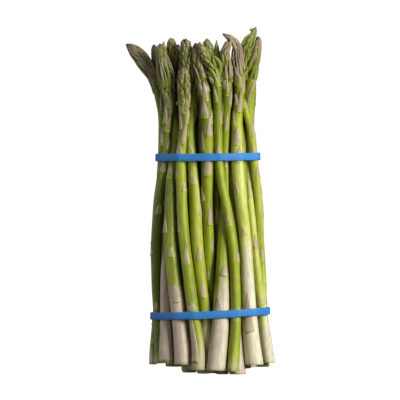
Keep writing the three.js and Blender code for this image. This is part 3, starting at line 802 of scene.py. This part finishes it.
def bracts_for(look, stalk, random):
    """The listed scale leaves with hidden ones in their gaps, or a spiral if there are none."""
    spine = stalk.spine
    placed = sorted(look["bracts"])
    top = float(spine.height(stalk.head))
    if not placed:
        height, side = spine.foot + random.uniform(*FIRST_BRACT), random.uniform(0, 360)
        while height < top:
            share = height / top
            placed.append((height, side, mix(*BRACT_LENGTH, share) * random.uniform(0.85, 1.15)))
            height += mix(*BRACT_GAP, share**1.5) * random.uniform(0.85, 1.15)
            side += GOLDEN_ANGLE + random.uniform(-12, 12)
        return placed
    heights = [spine.foot + 2] + [height for height, _, _ in placed] + [top]
    hidden = []
    for low, high in zip(heights, heights[1:]):
        if high - low > GAP_TO_FILL:
            place = mix(low, high, random.uniform(0.4, 0.6))
            hidden.append((place, random.uniform(*BACK_SIDES), HIDDEN_LENGTH))
    return placed + hidden


def rear_look(random, number):
    """The looks of a spear that has none of its own."""
    return dict(
        head=REAR_HEADS[number % len(REAR_HEADS)],
        pale=(random.uniform(5, 35), random.uniform(45, 95)), warm=random.uniform(0.2, 0.9),
        bloom=random.uniform(0.2, 0.7), tint=random.uniform(0.2, 0.9),
    )


def make_spear(node, number, materials):
    """Grows one spear in the place of its CAD node."""
    random = np.random.default_rng(100 + number)
    spine = Spine(node)
    look = USUAL_LOOK | (SPEARS.get(node) or rear_look(random, number))
    look["tones"] = look["tones"] or HEADS[look["head"]]["tones"]
    spine.thin_tip(look["tip_share"])
    stalk = Stalk(spine, look, random)
    bracts = bracts_for(look, stalk, random)
    stalk.bumps = [(spine.at_height(height), side, NODE_SWELL) for height, side, _ in bracts]
    growth = Growth(random, fine=node in SPEARS)
    grow_stalk(growth, stalk, STALK_SIDES["near" if growth.fine else "rear"])
    for height, side, length in bracts:
        grow_bract(growth, stalk, height, side, length)
    grow_head(growth, stalk)
    grow_placed_pods(growth, stalk)
    grow_sprigs(growth, stalk)
    piece = add_to_scene("grown_" + node, growth.mesh("grown_" + node, materials))
    piece["warm"] = look["warm"]
    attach(piece, "root")
    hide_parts(node)
    return piece_triangles(piece)


def add_to_scene(name, data):
    made = bpy.data.objects.new(name, data)
    bpy.context.scene.collection.objects.link(made)
    return made


def piece_triangles(piece):
    return sum(len(face.vertices) - 2 for face in piece.data.polygons)


# ---- Materials ----


def srgb(red, green, blue):
    """A colour given as it looks, from 0 to 255, as the linear values that Blender takes."""
    shares = (value / 255 for value in (red, green, blue))
    return tuple(v / 12.92 if v <= 0.04045 else ((v + 0.055) / 1.055) ** 2.4 for v in shares)


class Paint:
    """Short names for the nodes of one material."""

    def __init__(self, name):
        self.material = bpy.data.materials.new(name)
        self.material.use_nodes = True
        self.tree = self.material.node_tree
        self.shader = self.tree.nodes["Principled BSDF"]

    def node(self, kind, **settings):
        node = self.tree.nodes.new("ShaderNode" + kind)
        for name, value in settings.items():
            setattr(node, name, value)
        return node

    def feed(self, socket, value):
        if isinstance(value, bpy.types.NodeSocket):
            self.tree.links.new(value, socket)
        else:
            socket.default_value = value

    def finish(self, **inputs):
        """Sets the shader's own sockets, with _ for a space in their names."""
        for name, value in inputs.items():
            self.feed(self.shader.inputs[name.replace("_", " ")], value)
        return self.material

    def mark(self, name, kind="GEOMETRY", output="Fac"):
        node = self.node("Attribute", attribute_name=name, attribute_type=kind)
        return node.outputs[output]

    def straight(self):
        return self.mark("straight", output="Vector")

    def maths(self, operation, a, b):
        node = self.node("Math", operation=operation)
        self.feed(node.inputs[0], a)
        self.feed(node.inputs[1], b)
        return node.outputs[0]

    def shifted(self, value, noise, amount):
        """A value moved up and down by amount times a noise."""
        return self.maths("ADD", value, self.spread(noise, 0.2, 0.8, -amount, amount))

    def stretch(self, vector, scale):
        node = self.node("VectorMath", operation="MULTIPLY")
        self.feed(node.inputs[0], vector)
        node.inputs[1].default_value = scale
        return node.outputs[0]

    def streaks(self, straight, squeeze, *noise):
        """A noise drawn out along the spear."""
        return self.noise(self.stretch(straight, (1.0, 1.0, squeeze)), *noise)

    def noise(self, vector, scale, detail=2.0, rough=0.5):
        node = self.node("TexNoise")
        self.feed(node.inputs["Vector"], vector)
        node.inputs["Scale"].default_value = scale
        node.inputs["Detail"].default_value = detail
        node.inputs["Roughness"].default_value = rough
        return node.outputs["Fac"]

    def spread(self, value, low, high, to_low=0.0, to_high=1.0):
        node = self.node("MapRange", interpolation_type="SMOOTHSTEP")
        for socket, given in zip(node.inputs[:5], (value, low, high, to_low, to_high)):
            self.feed(socket, given)
        return node.outputs["Result"]

    def blend(self, share, a, b, kind="MIX"):
        node = self.node("Mix", data_type="RGBA", blend_type=kind)
        self.feed(node.inputs[0], share)
        self.feed(node.inputs[6], a if isinstance(a, bpy.types.NodeSocket) else (*a, 1))
        self.feed(node.inputs[7], b if isinstance(b, bpy.types.NodeSocket) else (*b, 1))
        return node.outputs[2]

    def shaded(self, colour, value, low, high):
        """A colour made darker or lighter by a noise, from low times it to high times it."""
        node = self.node("CombineColor")
        for socket in node.inputs[:3]:
            self.feed(socket, self.spread(value, 0.3, 0.7, low, high))
        return self.blend(1.0, colour, node.outputs[0], "MULTIPLY")

    def bump(self, height, distance, strength):
        node = self.node("Bump")
        node.inputs["Distance"].default_value = distance
        node.inputs["Strength"].default_value = strength
        self.feed(node.inputs["Height"], height)
        return node.outputs["Normal"]


DEEP_GREEN = srgb(100, 114, 2)
YELLOW_GREEN = srgb(152, 163, 10)
PALE_GREEN = srgb(196, 200, 106)
PINK_BEIGE = srgb(184, 165, 148)
CREAM = srgb(214, 208, 180)
BLOOM_TAN = srgb(158, 150, 108)
# The green at a leaf's base, made lighter than the leaf's green as a painted highlight.
LIP_GREEN_AND_HIGHLIGHT = srgb(164, 178, 66)
LEAF_GREEN = srgb(136, 150, 26)
LEAF_TAN = srgb(168, 148, 126)
LEAF_PURPLE = srgb(124, 104, 94)
LEAF_EDGE = srgb(204, 186, 170)
# Painted shade: the first darkens the leaves in the head and the bracts towards it; the second darkens
# the stalk's core inside the head and the pod bodies, where the leaves round them would shade them.
PAINTED_HEAD_SHADE = (0.80, 0.80, 0.74)
PAINTED_CORE_SHADE = (0.16, 0.18, 0.14)
CUT_PALE = srgb(190, 182, 140)
CUT_DARK = srgb(122, 112, 72)

SKIN_FINISH = dict(
    IOR=1.42, Specular_IOR_Level=0.6, Subsurface_Weight=0.08,
    Subsurface_Radius=(0.9, 1.0, 0.25), Subsurface_Scale=0.001,
)


def stalk_colour(paint, straight):
    """Yellow-green skin that turns pale and pink towards the cut end, with tan speckle."""
    mottle = paint.streaks(straight, 0.12, 0.16, 3)
    fibre = paint.streaks(straight, 0.03, 1.3, 3, 0.6)
    yellow = paint.shifted(paint.mark("tint"), mottle, 0.45)
    green = paint.blend(paint.spread(yellow, 0.0, 1.1), DEEP_GREEN, YELLOW_GREEN)
    green = paint.blend(paint.spread(yellow, 1.0, 2.0), green, PALE_GREEN)
    fade = paint.spread(paint.shifted(paint.mark("pale"), mottle, 0.3), 0.12, 0.95)
    beige = paint.blend(paint.shifted(paint.mark("warm", "OBJECT"), mottle, 0.3), CREAM, PINK_BEIGE)
    base = paint.blend(fade, green, beige)
    speckle = paint.spread(paint.noise(straight, 0.9, 4, 0.65), 0.45, 0.72, 0.0, 0.6)
    base = paint.blend(paint.maths("MULTIPLY", speckle, paint.mark("bloom")), base, BLOOM_TAN)
    blotch = paint.streaks(straight, 0.35, 0.5, 3, 0.6)
    base = paint.shaded(base, blotch, 0.86, 1.08)
    dark, light = paint.spread(fade, 0, 1, 0.80, 0.93), paint.spread(fade, 0, 1, 1.14, 1.05)
    return paint.shaded(base, fibre, dark, light), fibre


def skin_material():
    paint = Paint("asparagus_skin")
    straight = paint.straight()
    colour, fibre = stalk_colour(paint, straight)
    # Painted shade: the stalk's core inside the head and the pod bodies are darkened where the leaves
    # round them would shade them.
    shaded = paint.blend(1.0, colour, PAINTED_CORE_SHADE, "MULTIPLY")
    colour = paint.blend(paint.mark("bud"), colour, shaded)
    return paint.finish(
        Base_Color=colour,
        Normal=paint.bump(fibre, 0.00012, 0.5),
        Roughness=paint.spread(paint.noise(straight, 0.5), 0.3, 0.7, 0.42, 0.58),
        **SKIN_FINISH,
    )


def leaf_material():
    paint = Paint("asparagus_leaf")
    straight = paint.straight()
    skin, _ = stalk_colour(paint, straight)
    veins = paint.streaks(straight, 0.08, 1.6, 3, 0.6)
    patches = paint.streaks(straight, 0.4, 0.25, 2)
    tone = paint.shifted(paint.shifted(paint.mark("tone"), veins, 0.12), patches, 0.10)
    green = paint.blend(0.5, skin, LEAF_GREEN)
    # Below 0.05 the tone takes the lip green: the base's own green made lighter, a painted highlight.
    base = paint.blend(paint.spread(tone, -0.3, 0.05), LIP_GREEN_AND_HIGHLIGHT, green)
    base = paint.blend(paint.spread(tone, 0.14, 0.5), base, LEAF_TAN)
    base = paint.blend(paint.spread(tone, 0.5, 0.95), base, LEAF_PURPLE)
    base = paint.blend(paint.spread(paint.mark("edge"), 0.45, 1.0), base, LEAF_EDGE)
    # Painted shade: leaves in the head, and bracts towards it, are darkened.
    base = paint.blend(paint.mark("bud"), base, paint.blend(1.0, base, PAINTED_HEAD_SHADE, "MULTIPLY"))
    return paint.finish(
        Base_Color=paint.shaded(base, veins, 0.84, 1.12),
        Normal=paint.bump(veins, 0.00015, 0.6),
        Roughness=paint.spread(tone, 0.2, 0.8, 0.42, 0.6),
        **SKIN_FINISH,
    )


def cut_material():
    paint = Paint("asparagus_cut_end")
    straight = paint.straight()
    cells = paint.node("TexVoronoi")
    paint.feed(cells.inputs["Vector"], straight)
    cells.inputs["Scale"].default_value = 0.85
    strands = paint.spread(cells.outputs["Distance"], 0.12, 0.34)
    base = paint.blend(strands, CUT_DARK, CUT_PALE)
    stain = paint.spread(paint.noise(straight, 0.25, 3), 0.35, 0.7, 0.0, 0.5)
    return paint.finish(
        Base_Color=paint.blend(stain, base, BLOOM_TAN),
        Normal=paint.bump(strands, 0.00015, 0.6),
        Roughness=0.6,
    )


BAND_BLUE = srgb(42, 116, 186)
BAND_DUST = srgb(110, 160, 208)


def rubber_material():
    paint = Paint("band_rubber_blue")
    place = paint.node("TexCoord").outputs["Object"]
    grain = paint.noise(place, 2600, 3, 0.7)
    dust = paint.spread(grain, 0.5, 0.75, 0.0, 0.45)
    base = paint.blend(dust, BAND_BLUE, BAND_DUST)
    return paint.finish(
        Base_Color=paint.shaded(base, paint.noise(place, 90, 2), 0.88, 1.08),
        Normal=paint.bump(grain, 0.00008, 0.5),
        Roughness=0.6,
        Specular_IOR_Level=0.35,
    )


# ---- Bands ----

BAND_WIDTH = 5.4
BAND_THICKNESS = 1.2
BAND_CORNER = 0.38
BAND_ARC_POINTS = 4
BAND_EASE = (1.9, 0.8)
BAND_WAVE = 0.12


def make_band(node, material):
    """A stretched rubber band in the place of its CAD node: flat between the spears it bears on."""
    points = np.array([vertex.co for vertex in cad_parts[node].data.vertices]) / MM
    slope, height = np.polyfit(points[:, 0], points[:, 2], 1)
    path = eased_corners(hull(points[:, :2]))
    normal = outward_normals(path)
    random = np.random.default_rng(len(node))
    turn = np.linspace(0, 2 * math.pi, len(path), endpoint=False)
    wave = sum(np.sin(k * turn + random.uniform(0, 2 * math.pi)) for k in (3, 5)) * BAND_WAVE / 2
    rows = []
    for into, up in rounded_section(BAND_WIDTH - 2 * BAND_WAVE, BAND_THICKNESS, BAND_CORNER):
        place = path - normal * into
        rows.append(np.column_stack([place, height + slope * place[:, 0] + up + wave]))
    numbers = np.arange(len(rows) * len(path)).reshape(len(rows), len(path))
    ahead = np.roll(numbers, -1, axis=0)
    corners = (numbers, np.roll(numbers, -1, axis=1), np.roll(ahead, -1, axis=1), ahead)
    faces = np.stack([corner.ravel() for corner in corners], axis=1).tolist()
    mesh = bpy.data.meshes.new("rubber_" + node)
    mesh.from_pydata((np.concatenate(rows) * MM).tolist(), [], faces)
    mesh.polygons.foreach_set("use_smooth", [True] * len(faces))
    mesh.materials.append(material)
    mesh.update()
    piece = add_to_scene("rubber_" + node, mesh)
    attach(piece, "root")
    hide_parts(node)
    return piece_triangles(piece)


def hull(points):
    """The convex outline round points, anticlockwise."""
    points = sorted(set(map(tuple, np.round(points, 3))))

    def turns_right(o, a, b):
        return (a[0] - o[0]) * (b[1] - o[1]) - (a[1] - o[1]) * (b[0] - o[0]) <= 0

    def chain(ordered):
        kept = []
        for point in ordered:
            while len(kept) > 1 and turns_right(kept[-2], kept[-1], point):
                kept.pop()
            kept.append(point)
        return kept[:-1]

    return np.array(chain(points) + chain(points[::-1]))


def eased_corners(loop):
    """The loop with each corner eased over a short run, so that the runs between stay flat."""
    path = []
    for before, here, after in zip(np.roll(loop, 1, axis=0), loop, np.roll(loop, -1, axis=0)):
        back, on = before - here, after - here
        run = min(np.linalg.norm(back), np.linalg.norm(on)) * 0.45
        offsets = [min(ease, run * share) for ease, share in zip(BAND_EASE, (1, 0.5))]
        path += [here + unit(back) * offset for offset in offsets]
        path.append(here + (unit(back) + unit(on)) * offsets[1] * 0.3)
        path += [here + unit(on) * offset for offset in reversed(offsets)]
    return np.array(path)


def outward_normals(path):
    ahead = unit(np.roll(path, -1, axis=0) - np.roll(path, 1, axis=0))
    return np.stack([ahead[:, 1], -ahead[:, 0]], axis=1)


def rounded_section(width, thick, corner):
    """The band's cross-section as (distance in from its outer face, height) going round it."""
    half = width / 2
    centres = (
        (corner, corner - half, 180), (corner, half - corner, 90),
        (thick - corner, half - corner, 0), (thick - corner, corner - half, -90),
    )
    section = []
    for into, up, start in centres:
        for angle in np.radians(start + 90 - np.linspace(0, 90, BAND_ARC_POINTS)):
            section.append((into + corner * math.cos(angle), up + corner * math.sin(angle)))
    return section


# ---- Stage: camera, light and floor ----

# Lengths from here on are in metres.
VIEW_WIDTH = 0.276
VIEW_MIDDLE = (0.0001, 0.1194)
CAMERA_AWAY = 3.2
CAMERA_RISE = math.radians(0.7)
SENSOR = 36.0
LIGHT_AIM = Vector((0, 0, 0.12))
FLOOR_HALF = 4.0
FLOOR_DROP = 0.0002
WORLD_LIGHT = 0.07
WORLD_SEEN = 1.05


def make_camera():
    camera = add_to_scene("camera", bpy.data.cameras.new("camera"))
    camera.data.sensor_width = SENSOR
    camera.data.lens = SENSOR * CAMERA_AWAY / VIEW_WIDTH
    x, z = VIEW_MIDDLE
    away = Vector((0, -math.cos(CAMERA_RISE), math.sin(CAMERA_RISE)))
    camera.location = Vector((x, 0, z)) + away * CAMERA_AWAY
    camera.rotation_euler = (-away).to_track_quat("-Z", "Y").to_euler()
    bpy.context.scene.camera = camera


def make_light(name, place, size, power, colour=(1, 1, 1)):
    light = add_to_scene(name, bpy.data.lights.new(name, "AREA"))
    light.data.shape = "RECTANGLE"
    light.data.size, light.data.size_y = size
    light.data.energy = power
    light.data.color = colour
    light.location = place
    light.rotation_euler = (LIGHT_AIM - Vector(place)).to_track_quat("-Z", "Y").to_euler()


def make_floor():
    """A white floor that shows only a faint shadow, and throws no light back up."""
    mesh = bpy.data.meshes.new("floor")
    corners = [(FLOOR_HALF * x, FLOOR_HALF * y, 0) for x, y in ((-1, -1), (1, -1), (1, 1), (-1, 1))]
    mesh.from_pydata(corners, [], [(0, 1, 2, 3)])
    paint = Paint("floor_white")
    paint.finish(
        Base_Color=(0.6, 0.6, 0.6, 1), Roughness=1.0, Specular_IOR_Level=0.0,
        Emission_Color=(1, 1, 1, 1), Emission_Strength=0.97,
    )
    mesh.materials.append(paint.material)
    floor = add_to_scene("floor", mesh)
    floor.location.z = -FLOOR_DROP
    floor.visible_diffuse = False
    floor.visible_glossy = False


def make_world():
    """White to look at, and a softer light on the bunch."""
    world = bpy.data.worlds.new("world")
    world.use_nodes = True
    bpy.context.scene.world = world
    nodes, links = world.node_tree.nodes, world.node_tree.links
    background = nodes["Background"]
    background.inputs["Color"].default_value = (1, 1, 1, 1)
    seen = nodes.new("ShaderNodeLightPath").outputs["Is Camera Ray"]
    strength = nodes.new("ShaderNodeMapRange")
    strength.inputs["To Min"].default_value = WORLD_LIGHT
    strength.inputs["To Max"].default_value = WORLD_SEEN
    links.new(seen, strength.inputs["Value"])
    links.new(strength.outputs["Result"], background.inputs["Strength"])


def make_stage():
    make_camera()
    make_floor()
    make_world()
    make_light("key", (0.65, -0.56, 0.40), (0.4, 0.5), 12.5, (1.0, 0.99, 0.95))
    make_light("fill", (-0.6, -1.3, 0.30), (0.5, 0.7), 3)
    make_light("rim", (-1.5, 0.1, 0.4), (0.3, 1.0), 8)
    make_light("top", (0.3, -0.2, 1.6), (1.0, 1.0), 3)
    make_light("back", (0.2, 1.6, 0.5), (0.8, 0.8), 5)
    scene = bpy.context.scene
    scene.view_settings.view_transform = "Standard"
    scene.view_settings.look = "None"


# ---- The bunch ----

make_stage()
skins = [skin_material(), leaf_material(), cut_material()]
nodes = sorted(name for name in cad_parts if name.startswith("spear"))
triangles = [make_spear(node, number, skins) for number, node in enumerate(nodes)]
rubber = rubber_material()
triangles += [make_band(node, rubber) for node in ("upper_band", "lower_band")]
print("triangles made:", sum(triangles), "the most in one piece:", max(triangles))
